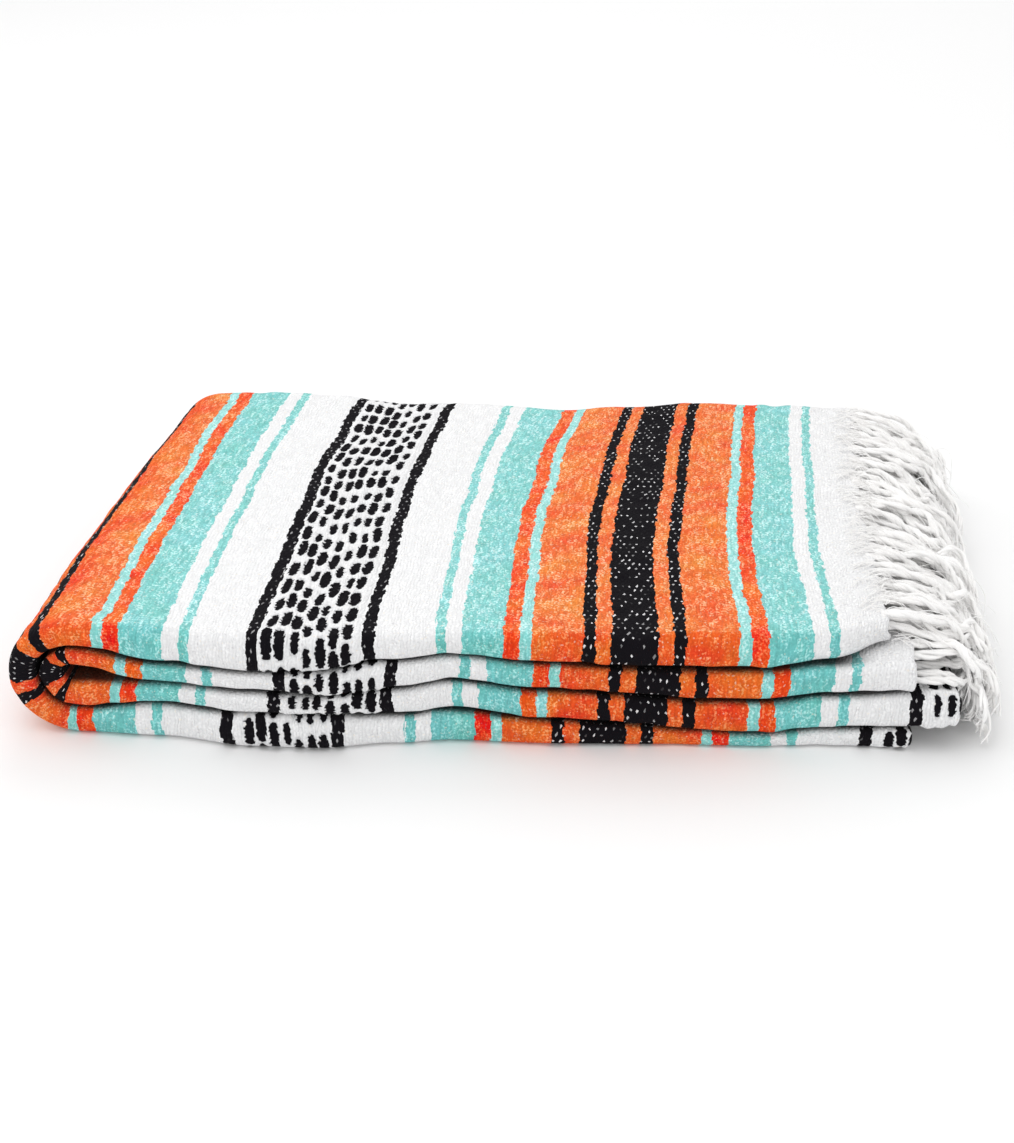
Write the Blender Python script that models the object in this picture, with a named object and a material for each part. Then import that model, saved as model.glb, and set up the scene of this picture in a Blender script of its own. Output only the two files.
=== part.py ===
"""A woven blanket with fringed ends, folded to a flat pack and lying on a surface.

The cloth is folded four times. Its fringed ends meet first, then both long edges are turned to
the middle and the strip is closed like a book, and at last the left end goes under the right.
Seen from the front that makes four plies of four cloth layers each, all with a round front edge.

The length runs along X with the fringe at +X, the depth along Y with the open front at -Y.
The origin is the middle of the footprint, on the surface that the blanket lies on.
"""

import math

import bmesh
import bpy
from mathutils import Vector

# Driving sizes of the cloth, in metres
CLOTH_WIDTH = 1.270
CLOTH_THICKNESS = 0.0040
LAYERS_IN_PLY = 4
GAP = 0.0003

# Driving sizes of the folded pack
DEPTH = CLOTH_WIDTH / 4
PLY_THICKNESS = LAYERS_IN_PLY * CLOTH_THICKNESS
PLIES = 4
PACK_HEIGHT = 0.066
MIDDLE = PACK_HEIGHT / 2
LEFT_END = -0.2606
FRINGED_END = 0.1860
LOOPED_END = 0.2115
FRINGED_STAGGER = 0.0100
LOOPED_STAGGER = 0.0230
HOLLOW_AT_FOLD = 0.0035
HOLLOW_REACH = 0.045
GROOVE_DEPTH = 0.0030
GROOVE_WIDTH = 0.0012
FOOTPRINT_SHIFT = Vector((-0.0028, 0.0039, 0.0))

# A double ply is a slab bent once at the back. These place its middle line, as distances from
# the middle plane of the left fold and as depths along Y
HALF_PLY = PLY_THICKNESS / 2
INNER_SURFACE = 0.0004
OUTER_RUN = MIDDLE - HALF_PLY
INNER_RUN = INNER_SURFACE + HALF_PLY
BEND_MIDDLE = (OUTER_RUN + INNER_RUN) / 2
BEND_RADIUS = (OUTER_RUN - INNER_RUN) / 2
FRONT_CENTRE = -DEPTH / 2 + HALF_PLY
BACK_CENTRE = DEPTH / 2 - BEND_RADIUS - HALF_PLY
GROOVE_INSET = HALF_PLY - GROOVE_WIDTH / 2
UPPERMOST_PLY = MIDDLE + OUTER_RUN - HALF_PLY - GAP

# Where the outline of a section has its points, in metres of depth and degrees of turn
DEPTHS = (FRONT_CENTRE, -0.092, -0.034, 0.024, 0.082)
BACK_TURNS = (0.0, 45.0, 90.0, 135.0, 180.0)
FRONT_TURNS = (36.0, 72.0, 108.0, 144.0)

# The path of the sections, along the top, round the left fold and back underneath
FOLD_CENTRE = LEFT_END + MIDDLE
TOP_STEPS = 15
FOLD_STEPS = 8
BOTTOM_STEPS = 13
END_TURNS = (40.0, 90.0)

# Fringe, one row to each pair of cut edges, from the lowest row up
STRANDS_IN_ROW = 22
BACKING_LENGTH = 0.0035
BACKING_THICKNESS = 0.0050
BACKING_FRONT = -0.150
BACKING_BACK = 0.142
STRAND_WIDTH = 0.0046
STRAND_TAPER = 0.45
STRAND_TURNS = (30.0, 50.0, 66.0, 80.0, 90.0)
STRAND_SWAY = 0.0030
SWAY_PER_STRAND = 2.4
SWAY_PER_ROW = 0.7
TIP_HEIGHT = 0.0015
TIP_SPREAD = 0.0110
ROW_COLUMNS = ("name", "distance", "reach", "squareness")
ROWS = (
    ("fringe_row_1", INNER_RUN - HALF_PLY / 2, 0.041, 6.0),
    ("fringe_row_2", INNER_RUN + HALF_PLY / 2, 0.051, 4.0),
    ("fringe_row_3", OUTER_RUN - HALF_PLY / 2, 0.070, 3.2),
    ("fringe_row_4", OUTER_RUN + HALF_PLY / 2, 0.080, 2.7),
)

# Heights of the three front creases along the pack, how far the front edge bulges forward, and
# how far the corner of the uppermost ply is drawn back from it
CREASE_COLUMNS = ("x", "lower", "middle", "upper", "forward", "drawn_back")
CREASES = (
    (-0.260, 0.0165, 0.0340, 0.0503, 0.000, 0.000),
    (-0.230, 0.0182, 0.0372, 0.0492, 0.001, 0.000),
    (-0.185, 0.0217, 0.0334, 0.0443, 0.004, 0.000),
    (-0.140, 0.0214, 0.0338, 0.0456, 0.012, 0.000),
    (-0.105, 0.0223, 0.0323, 0.0472, 0.013, 0.000),
    (-0.065, 0.0184, 0.0343, 0.0502, 0.006, 0.000),
    (-0.035, 0.0200, 0.0374, 0.0522, 0.002, 0.000),
    (0.010, 0.0152, 0.0328, 0.0492, 0.003, 0.000),
    (0.050, 0.0130, 0.0309, 0.0465, 0.002, 0.000),
    (0.090, 0.0086, 0.0271, 0.0449, 0.000, 0.000),
    (0.120, 0.0070, 0.0269, 0.0455, 0.000, 0.000),
    (0.155, 0.0099, 0.0307, 0.0487, -0.002, 0.004),
    (0.190, 0.0120, 0.0338, 0.0523, -0.001, 0.020),
    (0.235, 0.0135, 0.0345, 0.0520, 0.000, 0.020),
)

# Rise of the top along its back edge and along its middle, and how far the back edge bulges out
TOP_COLUMNS = ("x", "back_rise", "middle_rise", "backward")
TOP = (
    (-0.260, 0.0015, 0.0000, 0.000),
    (-0.188, 0.0023, 0.0010, 0.002),
    (-0.150, -0.0004, 0.0015, 0.005),
    (-0.108, -0.0034, 0.0005, -0.002),
    (-0.070, -0.0024, -0.0010, 0.000),
    (-0.012, -0.0040, -0.0015, -0.005),
    (0.030, -0.0031, 0.0000, 0.000),
    (0.085, 0.0008, 0.0015, 0.002),
    (0.140, 0.0008, 0.0010, -0.003),
    (0.200, -0.0030, -0.0010, 0.001),
)

# Slant of the weft, as the shift in X for each metre of depth and for its square
SLANT_COLUMNS = ("x", "slant", "curve")
SLANT = (
    (-0.268, 0.116, 0.08),
    (-0.215, 0.072, 0.10),
    (-0.110, 0.075, 0.21),
    (0.060, 0.088, 0.30),
    (0.190, 0.056, 0.22),
    (0.280, 0.050, 0.20),
)

# How the unevenness of the front and the back fades towards the middle of the pack
FADE_START = 0.020
FADE_LENGTH = 0.120
CREASE_SHARE_BEHIND = 0.35


def smooth(value):
    """A step from 0 to 1 with soft ends."""
    value = min(max(value, 0.0), 1.0)
    return value * value * (3 - 2 * value)


def read(rows, columns, name, x):
    """The named column at x, eased from row to row."""
    place = columns.index(name)
    if x <= rows[0][0]:
        return rows[0][place]
    for low, high in zip(rows, rows[1:]):
        if x <= high[0]:
            share = smooth((x - low[0]) / (high[0] - low[0]))
            return low[place] + (high[place] - low[place]) * share
    return rows[-1][place]


def settled(point, is_uppermost):
    """Where a point of the even pack comes to lie once the cloth has sunk, bulged and slid askew."""
    x, y, z = point
    frontness = smooth((-y - FADE_START) / FADE_LENGTH)
    backness = smooth((y - FADE_START) / FADE_LENGTH)
    crease_share = CREASE_SHARE_BEHIND + (1 - CREASE_SHARE_BEHIND) * frontness
    even = [PACK_HEIGHT * ply / PLIES for ply in range(PLIES + 1)]
    levels = [even[0]]
    for ply, name in enumerate(("lower", "middle", "upper"), start=1):
        crease = read(CREASES, CREASE_COLUMNS, name, x)
        levels.append(even[ply] + (crease - even[ply]) * crease_share)
    back_rise = read(TOP, TOP_COLUMNS, "back_rise", x) * backness
    middle_rise = read(TOP, TOP_COLUMNS, "middle_rise", x) * (1 - backness) * (1 - frontness)
    levels.append(even[-1] + back_rise + middle_rise)
    height = z
    if z > 0:
        ply = min(int(z / even[1]), PLIES - 1)
        share = (z - even[ply]) / even[1]
        height = levels[ply] + (levels[ply + 1] - levels[ply]) * share
    onward = read(TOP, TOP_COLUMNS, "backward", x) * backness
    onward -= read(CREASES, CREASE_COLUMNS, "forward", x) * frontness
    if is_uppermost:
        onward += read(CREASES, CREASE_COLUMNS, "drawn_back", x) * frontness
    askew = read(SLANT, SLANT_COLUMNS, "slant", x) * y + read(SLANT, SLANT_COLUMNS, "curve", x) * y * y
    return Vector((x + askew, y + onward, height)) + FOOTPRINT_SHIFT


def back_bend(radius, turns):
    """Points of the bend at the back of a double ply, as (depth, distance)."""
    angles = [math.radians(degrees) for degrees in turns]
    return [(BACK_CENTRE + radius * math.sin(a), BEND_MIDDLE + radius * math.cos(a)) for a in angles]


def front_roll(radius, run):
    """Points of the round front edge of one ply, from its inner side out, as (depth, distance)."""
    angles = [math.radians(degrees) for degrees in FRONT_TURNS]
    return [(FRONT_CENTRE - radius * math.sin(a), run - radius * math.cos(a)) for a in angles]


def ply_outline(inset):
    """The double ply in section, as (depth, distance from the fold's middle plane) points.

    The outline runs over the top to the back bend, forward underneath, and round the two front
    edges. A positive inset gives the same outline, point for point, deeper inside the cloth.
    """
    half = HALF_PLY - inset
    points = [(depth, OUTER_RUN + half) for depth in DEPTHS]
    points += back_bend(BEND_RADIUS + half, BACK_TURNS)
    points += [(depth, INNER_RUN - half) for depth in reversed(DEPTHS)]
    points += front_roll(half, INNER_RUN)
    points += [(depth, INNER_RUN + half) for depth in DEPTHS]
    points += back_bend(BEND_RADIUS - half, reversed(BACK_TURNS))
    points += [(depth, OUTER_RUN - half) for depth in reversed(DEPTHS)]
    points += front_roll(half, OUTER_RUN)
    return points


def stations():
    """The places of the sections: right to left on top, round the fold, and back to the right.

    Each is (x, z, outward x, outward z) of the line that a section's distances are measured from.
    """
    places = []
    for step in range(TOP_STEPS):
        x = FRINGED_END + (FOLD_CENTRE - FRINGED_END) * step / TOP_STEPS
        places.append((x, MIDDLE, 0.0, 1.0))
    for step in range(FOLD_STEPS + 1):
        angle = math.pi * step / FOLD_STEPS
        places.append((FOLD_CENTRE, MIDDLE, -math.sin(angle), math.cos(angle)))
    last = LOOPED_END - CLOTH_THICKNESS
    for step in range(1, BOTTOM_STEPS + 1):
        x = FOLD_CENTRE + (last - FOLD_CENTRE) * step / BOTTOM_STEPS
        places.append((x, MIDDLE, 0.0, -1.0))
    return places


def stagger(x, depth, distance, is_top):
    """How far the inner ply of a pair is drawn past the outer one, growing towards the right end."""
    turned = math.atan2(max(depth - BACK_CENTRE, 0.0), distance - BEND_MIDDLE)
    inner_share = smooth(turned / math.pi)
    along = smooth((x - FOLD_CENTRE) / (FRINGED_END - FOLD_CENTRE))
    if is_top:
        return FRINGED_STAGGER * inner_share * along
    return LOOPED_STAGGER * (inner_share - 0.5) * along


def section(place, inset):
    """The outline of the double ply set up at one station, opened a little at the inner fold."""
    x, z, out_x, out_z = place
    nearness = 1 - smooth((x - FOLD_CENTRE) / HOLLOW_REACH)
    ring = []
    for depth, distance in ply_outline(inset):
        opened = distance + HOLLOW_AT_FOLD * nearness * (1 - distance / MIDDLE)
        drawn = stagger(x, depth, distance, out_z > 0)
        ring.append(Vector((x + drawn + opened * out_x, depth, z + opened * out_z)))
    return ring


def moved_along(place, step):
    """The same station, moved in X."""
    return (place[0] + step,) + place[1:]


def join_rings(bm, rings):
    """Faces between each ring of points and the next, and the vertices of the first and last."""
    made = [[bm.verts.new(point) for point in ring] for ring in rings]
    for first, second in zip(made, made[1:]):
        for place, vertex in enumerate(first):
            after = (place + 1) % len(first)
            bm.faces.new((vertex, first[after], second[after], second[place]))
    return made[0], made[-1]


def close_end(bm, ring):
    """Fills the outline at one end of a run of rings, across the thickness of both plies."""
    side = 2 * len(DEPTHS) + len(BACK_TURNS)
    turn = len(FRONT_TURNS)
    outside = ring[:side]
    inside = ring[side + turn : 2 * side + turn]
    inside.reverse()
    for place in range(side - 1):
        bm.faces.new((outside[place], outside[place + 1], inside[place + 1], inside[place]))
    bm.faces.new((outside[-1], *ring[side : side + turn], inside[-1]))
    bm.faces.new((inside[0], *ring[2 * side + turn :], outside[0]))


def finish(bm, name, colour, roughness, lowest_of_uppermost=UPPERMOST_PLY):
    """Settles the mesh, turns it to face out and makes it an object with its own material."""
    for vertex in bm.verts:
        vertex.co = settled(vertex.co, vertex.co.z > lowest_of_uppermost)
    bmesh.ops.triangulate(bm, faces=bm.faces[:], quad_method="FIXED")
    bmesh.ops.recalc_face_normals(bm, faces=bm.faces[:])
    mesh = bpy.data.meshes.new(name)
    bm.to_mesh(mesh)
    bm.free()
    mesh.shade_smooth()
    mesh.set_sharp_from_angle(angle=math.radians(60))
    bpy.context.collection.objects.link(bpy.data.objects.new(name, mesh))
    material = bpy.data.materials.new(name)
    material.use_nodes = True
    shader = material.node_tree.nodes["Principled BSDF"]
    shader.inputs["Base Color"].default_value = colour
    shader.inputs["Roughness"].default_value = roughness
    mesh.materials.append(material)


def woven_panel():
    """The outer cloth layer, one wall all round both double plies.

    It ends in a cut edge under the fringe. At its other end it turns in on itself, with a groove
    between the two loops that the cloth makes in each ply.
    """
    places = stations()
    last = places[-1]
    outer = [section(place, 0.0) for place in places]
    for degrees in END_TURNS:
        angle = math.radians(degrees)
        turned = moved_along(last, CLOTH_THICKNESS * math.sin(angle))
        outer.append(section(turned, CLOTH_THICKNESS * (1 - math.cos(angle))))
    outer.append(section(moved_along(last, CLOTH_THICKNESS - GROOVE_DEPTH), GROOVE_INSET))
    inner_end = moved_along(last, -CLOTH_THICKNESS)
    inner = [section(place, CLOTH_THICKNESS) for place in places[:-1]]
    inner.append(section(inner_end, CLOTH_THICKNESS))
    inner.append(section(inner_end, GROOVE_INSET))
    bm = bmesh.new()
    outer_mouth, outer_cap = join_rings(bm, outer)
    inner_mouth, inner_cap = join_rings(bm, inner)
    for place, vertex in enumerate(outer_mouth):
        after = (place + 1) % len(outer_mouth)
        bm.faces.new((vertex, outer_mouth[after], inner_mouth[after], inner_mouth[place]))
    close_end(bm, outer_cap)
    close_end(bm, inner_cap)
    finish(bm, "woven_panel", (0.80, 0.36, 0.18, 1.0), 0.95)


def hidden_layers():
    """The layers folded away inside, as one rounded solid with a groove between its cut edges."""
    places = stations()[:-1]
    mouth = places[0]
    rings = [section(moved_along(mouth, -GROOVE_DEPTH), GROOVE_INSET)]
    rings.append(section(mouth, GROOVE_INSET))
    rings += [section(place, CLOTH_THICKNESS + GAP) for place in places]
    bm = bmesh.new()
    groove_end, far_end = join_rings(bm, rings)
    close_end(bm, groove_end)
    close_end(bm, far_end)
    finish(bm, "hidden_layers", (0.72, 0.70, 0.66, 1.0), 0.95)


def strand_corners(root, row, index, turn):
    """The four corners of one strand where it has turned this far from level to straight down."""
    angle = math.radians(turn)
    wave = math.sin(SWAY_PER_STRAND * index + SWAY_PER_ROW * row["reach"] / STRAND_WIDTH)
    tip = TIP_HEIGHT + TIP_SPREAD * (0.5 + 0.5 * wave) ** 2
    along = math.sin(angle) ** (2 / row["squareness"])
    down = 1 - abs(math.cos(angle)) ** (2 / row["squareness"])
    centre = root + Vector((row["reach"] * along, STRAND_SWAY * wave * down, (tip - root.z) * down))
    half = STRAND_WIDTH / 2 * (1 - STRAND_TAPER * turn / 90.0)
    across = Vector((0.0, half, 0.0))
    over = Vector((half * math.sin(angle), 0.0, half * math.cos(angle)))
    return (centre - across - over, centre + across - over, centre + across + over, centre - across + over)


def fringe_row(row):
    """Twisted warp ends on a narrow backing that stands just off the cut edges."""
    width = BACKING_BACK - BACKING_FRONT
    near = FRINGED_END + GAP + stagger(FRINGED_END, 0.0, row["distance"], True)
    bm = bmesh.new()
    bmesh.ops.create_cube(bm, size=1.0)
    for vertex in bm.verts:
        vertex.co.x = near + BACKING_LENGTH * (vertex.co.x + 0.5)
        vertex.co.y = BACKING_FRONT + width * (vertex.co.y + 0.5)
        vertex.co.z = MIDDLE + row["distance"] + BACKING_THICKNESS * vertex.co.z
    for cut in range(1, STRANDS_IN_ROW):
        place = Vector((0.0, BACKING_FRONT + width * cut / STRANDS_IN_ROW, 0.0))
        everything = bm.verts[:] + bm.edges[:] + bm.faces[:]
        bmesh.ops.bisect_plane(bm, geom=everything, plane_co=place, plane_no=(0.0, 1.0, 0.0))
    roots = [face for face in bm.faces if face.normal.x > 0.5]
    roots.sort(key=lambda face: face.calc_center_median().y)
    for index, face in enumerate(roots):
        root = face.calc_center_median()
        bmesh.ops.inset_individual(bm, faces=[face], thickness=STRAND_WIDTH / 50)
        corners = strand_corners(root, row, index, 0.0)
        for vertex in face.verts:
            vertex.co = min(corners, key=lambda corner: (corner - vertex.co).length)
        for turn in STRAND_TURNS:
            face = bmesh.ops.extrude_discrete_faces(bm, faces=[face])["faces"][0]
            onward = strand_corners(root, row, index, turn)
            for vertex in face.verts:
                nearest = min(range(4), key=lambda place: (corners[place] - vertex.co).length)
                vertex.co = onward[nearest]
            corners = onward
    is_uppermost = row["distance"] > OUTER_RUN - HALF_PLY
    finish(bm, row["name"], (0.86, 0.82, 0.75, 1.0), 0.9, -1.0 if is_uppermost else PACK_HEIGHT)


def main():
    for old in list(bpy.data.objects):
        bpy.data.objects.remove(old, do_unlink=True)
    woven_panel()
    hidden_layers()
    for values in ROWS:
        fringe_row(dict(zip(ROW_COLUMNS, values)))


main()
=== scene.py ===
"""The look of a folded woven blanket with fringed ends, lying on a pale floor."""

import math

import bmesh
import bpy
import numpy as np
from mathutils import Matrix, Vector


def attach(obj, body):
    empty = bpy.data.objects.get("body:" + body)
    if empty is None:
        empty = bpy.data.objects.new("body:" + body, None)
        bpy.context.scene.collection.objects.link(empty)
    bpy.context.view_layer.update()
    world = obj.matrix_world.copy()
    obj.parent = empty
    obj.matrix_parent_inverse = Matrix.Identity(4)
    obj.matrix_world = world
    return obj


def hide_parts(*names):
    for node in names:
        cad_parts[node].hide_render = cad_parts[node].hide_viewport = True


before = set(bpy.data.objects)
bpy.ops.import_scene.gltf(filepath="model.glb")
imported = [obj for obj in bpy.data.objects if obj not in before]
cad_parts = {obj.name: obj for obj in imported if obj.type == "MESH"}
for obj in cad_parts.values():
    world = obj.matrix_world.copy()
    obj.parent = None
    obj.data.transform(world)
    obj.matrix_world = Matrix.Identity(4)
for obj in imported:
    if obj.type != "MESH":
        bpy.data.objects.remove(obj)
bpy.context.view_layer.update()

# Camera
# It looks down on the open front of the pack, a little from its right.
camera = bpy.data.objects.new("camera", bpy.data.cameras.new("camera"))
camera.data.sensor_width = 36.0
camera.data.lens = 57.15
camera.location = (0.0159, -0.9490, 0.5221)
camera.rotation_euler = (math.radians(62.11), 0.0, math.radians(2.3))
bpy.context.collection.objects.link(camera)
bpy.context.scene.camera = camera

# Floor and light
# A plain pale floor in an even white tent of light, with large soft lamps above, at the left,
# behind and in front.
FLOOR_HALF = 4.0
LAMPS = (
    ("lamp_above", (-0.5, -0.3, 2.1), 2.0, 14.5),
    ("lamp_left", (-1.8, 0.3, 1.2), 1.4, 6.0),
    ("lamp_behind", (0.2, 2.6, 2.4), 2.4, 22.0),
    ("lamp_front", (0.5, -2.3, 0.9), 1.8, 9.0),
)
scene = bpy.context.scene
scene.view_settings.view_transform = "Standard"
scene.world = bpy.data.worlds.new("white_tent")
scene.world.use_nodes = True
tent_light = scene.world.node_tree.nodes["Background"].inputs
tent_light["Color"].default_value = (1.0, 1.0, 1.0, 1.0)
tent_light["Strength"].default_value = 0.75
for name, place, side, power in LAMPS:
    lamp = bpy.data.objects.new(name, bpy.data.lights.new(name, "AREA"))
    lamp.data.size = side
    lamp.data.energy = power
    lamp.location = place
    lamp.rotation_euler = (-Vector(place)).to_track_quat("-Z", "Y").to_euler()
    bpy.context.collection.objects.link(lamp)

floor_mesh = bpy.data.meshes.new("floor")
bm = bmesh.new()
bmesh.ops.create_grid(bm, x_segments=1, y_segments=1, size=FLOOR_HALF)
bm.to_mesh(floor_mesh)
bm.free()
floor = bpy.data.objects.new("floor", floor_mesh)
bpy.context.collection.objects.link(floor)
floor_paint = bpy.data.materials.new("floor_paint")
floor_paint.use_nodes = True
paint = floor_paint.node_tree.nodes["Principled BSDF"].inputs
paint["Base Color"].default_value = (0.9, 0.9, 0.9, 1.0)
paint["Roughness"].default_value = 0.85
floor_mesh.materials.append(floor_paint)

# Upper part of the woven panel
# One weft-faced woven cloth about 4 mm thick. It lies over the two upper plies, from the cut
# edge under the fringe to below the left fold, and round both plies' front rolls.
CLOTH_WIDTH = 1.270
CLOTH_THICKNESS = 0.0040
DEPTH = CLOTH_WIDTH / 4
PLY_THICKNESS = 4 * CLOTH_THICKNESS
PLIES = 4
PACK_HEIGHT = 0.066
MIDDLE = PACK_HEIGHT / 2
LEFT_END = -0.2606
FRINGED_END = 0.1860
LOOPED_END = 0.2115
FRINGED_STAGGER = 0.0125
LOOPED_STAGGER = 0.0230
ROLL_SQUARENESS = 2.8
HOLLOW_AT_FOLD = 0.0042
HOLLOW_REACH = 0.045
NOSE_TUCK = 0.10
FOOTPRINT_SHIFT = (-0.0028, 0.0039)
HALF_PLY = PLY_THICKNESS / 2
OUTER_RUN = MIDDLE - HALF_PLY
INNER_RUN = 0.0004 + HALF_PLY
BEND_MIDDLE = (OUTER_RUN + INNER_RUN) / 2
BEND_RADIUS = (OUTER_RUN - INNER_RUN) / 2
FRONT_CENTRE = -DEPTH / 2 + HALF_PLY
BACK_CENTRE = DEPTH / 2 - BEND_RADIUS - HALF_PLY
FOLD_CENTRE = LEFT_END + MIDDLE
ARC_POINTS = 37

CREASE_COLUMNS = ("x", "lower", "middle", "upper", "forward", "drawn_back")
CREASES = (
    (-0.260, 0.0165, 0.0340, 0.0503, 0.000, 0.000),
    (-0.230, 0.0182, 0.0372, 0.0492, 0.001, 0.000),
    (-0.185, 0.0217, 0.0334, 0.0443, 0.004, 0.000),
    (-0.140, 0.0214, 0.0338, 0.0456, 0.012, 0.000),
    (-0.105, 0.0223, 0.0323, 0.0472, 0.013, 0.000),
    (-0.065, 0.0184, 0.0343, 0.0502, 0.006, 0.000),
    (-0.035, 0.0200, 0.0374, 0.0522, 0.002, 0.000),
    (0.010, 0.0152, 0.0328, 0.0492, 0.003, 0.000),
    (0.050, 0.0130, 0.0309, 0.0465, 0.002, 0.000),
    (0.090, 0.0086, 0.0271, 0.0449, 0.000, 0.000),
    (0.120, 0.0070, 0.0269, 0.0455, 0.000, 0.000),
    (0.155, 0.0099, 0.0307, 0.0487, -0.002, 0.004),
    (0.190, 0.0120, 0.0338, 0.0523, -0.001, 0.020),
    (0.235, 0.0135, 0.0345, 0.0520, 0.000, 0.020),
)
TOP_COLUMNS = ("x", "back_rise", "middle_rise", "backward")
TOP = (
    (-0.260, 0.0015, 0.0000, 0.000),
    (-0.188, 0.0023, 0.0010, 0.002),
    (-0.150, -0.0004, 0.0015, 0.005),
    (-0.108, -0.0034, 0.0005, -0.002),
    (-0.070, -0.0024, -0.0010, 0.000),
    (-0.012, -0.0040, -0.0015, -0.005),
    (0.030, -0.0031, 0.0000, 0.000),
    (0.085, 0.0008, 0.0015, 0.002),
    (0.140, 0.0008, 0.0010, -0.003),
    (0.200, -0.0030, -0.0010, 0.001),
)
SLANT_COLUMNS = ("x", "slant", "curve")
SLANT = (
    (-0.268, 0.116, 0.08),
    (-0.215, 0.072, 0.10),
    (-0.110, 0.075, 0.21),
    (0.060, 0.088, 0.30),
    (0.190, 0.056, 0.22),
    (0.280, 0.050, 0.20),
)
FADE_START = 0.020
FADE_LENGTH = 0.120
CREASE_SHARE_BEHIND = 0.35

# Distances along the cloth are counted from its middle band, which the middle fold just misses
CUT_EDGE = 0.9446
MIDDLE_FOLD = 0.0055
FOLD_TOP = CUT_EDGE - (FRINGED_END - FOLD_CENTRE)
FOLD_BOTTOM = MIDDLE_FOLD + LOOPED_END - FOLD_CENTRE
SEAM = FOLD_BOTTOM + 0.018
LIP_RADIUS = 0.0020
LIP_INSIDE = 0.006
LUMP_GRID = 64


def smooth(value):
    """A step from 0 to 1 with soft ends."""
    value = np.clip(value, 0.0, 1.0)
    return value * value * (3 - 2 * value)


def column_at(rows, columns, name, x):
    """The named column at x, eased from row to row."""
    place = columns.index(name)
    level = rows[0][place]
    for low, high in zip(rows, rows[1:]):
        level = level + (high[place] - low[place]) * smooth((x - low[0]) / (high[0] - low[0]))
    return level


def settled(x, y, z, is_uppermost):
    """Where points of the even pack come to lie once the cloth has sunk, bulged and slid askew."""
    frontness = smooth((-y - FADE_START) / FADE_LENGTH)
    backness = smooth((y - FADE_START) / FADE_LENGTH)
    crease_share = CREASE_SHARE_BEHIND + (1 - CREASE_SHARE_BEHIND) * frontness
    ply_height = PACK_HEIGHT / PLIES
    levels = [np.zeros_like(x)]
    for ply, name in enumerate(("lower", "middle", "upper"), start=1):
        crease = column_at(CREASES, CREASE_COLUMNS, name, x)
        levels.append(ply * ply_height + (crease - ply * ply_height) * crease_share)
    back_rise = column_at(TOP, TOP_COLUMNS, "back_rise", x) * backness
    middle_rise = column_at(TOP, TOP_COLUMNS, "middle_rise", x) * (1 - backness) * (1 - frontness)
    levels.append(PACK_HEIGHT + back_rise + middle_rise)
    height = np.minimum(z, 0.0)
    for ply in range(PLIES):
        share = (z - ply * ply_height) / ply_height
        share = np.clip(share, 0.0, 1.0) if ply < PLIES - 1 else np.maximum(share, 0.0)
        height = height + (levels[ply + 1] - levels[ply]) * share
    onward = column_at(TOP, TOP_COLUMNS, "backward", x) * backness
    onward = onward - column_at(CREASES, CREASE_COLUMNS, "forward", x) * frontness
    onward = onward + column_at(CREASES, CREASE_COLUMNS, "drawn_back", x) * frontness * is_uppermost
    askew = column_at(SLANT, SLANT_COLUMNS, "slant", x) * y
    askew = askew + column_at(SLANT, SLANT_COLUMNS, "curve", x) * y * y
    return x + askew + FOOTPRINT_SHIFT[0], y + onward + FOOTPRINT_SHIFT[1], height


def arc(centre, radius, first, last, squareness=2.0):
    """An arc of a section as rows of (depth, distance, outward depth, outward distance)."""
    angle = np.radians(np.linspace(first, last, ARC_POINTS))
    turn = np.stack([np.sin(angle), np.cos(angle)], axis=1)
    shape = np.sign(turn) * np.abs(turn) ** (2 / squareness)
    out = np.sign(turn) * np.abs(turn) ** (2 - 2 / squareness)
    out = out / np.linalg.norm(out, axis=1, keepdims=True)
    return np.hstack([np.array(centre) + radius * shape, out])


def double_ply():
    """The double ply in section, from its inner bend over both plies and back to the bend.

    Gives the distances across the cloth and the rows of (depth, distance, outward direction).
    """
    slot = np.array([(BACK_CENTRE, OUTER_RUN - HALF_PLY, 0.0, -1.0)])
    end = np.array([(BACK_CENTRE, INNER_RUN + HALF_PLY, 0.0, 1.0)])
    rows = np.vstack([
        slot,
        arc((FRONT_CENTRE, OUTER_RUN), HALF_PLY, 180.0, 360.0, ROLL_SQUARENESS),
        arc((BACK_CENTRE, BEND_MIDDLE), BEND_RADIUS + HALF_PLY, 0.0, 180.0),
        arc((FRONT_CENTRE, INNER_RUN), HALF_PLY, 180.0, 360.0, ROLL_SQUARENESS),
        end,
    ])
    steps = np.hypot(*np.diff(rows[:, :2], axis=0).T)
    across = np.concatenate([[0.0], np.cumsum(steps)])
    return across * CLOTH_WIDTH / across[-1], rows


# Distances across the cloth at which the rolls and the back bend of the section start and end
ACROSS, SECTION = double_ply()
UPPER_ROLL = ACROSS[1]
ROLL = ACROSS[ARC_POINTS] - UPPER_ROLL
BACK_TURN = ACROSS[ARC_POINTS + 1]
LOWER_SIDE = ACROSS[2 * ARC_POINTS]
LOWER_ROLL = ACROSS[2 * ARC_POINTS + 1]
SLOT_END = ACROSS[3 * ARC_POINTS]


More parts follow.
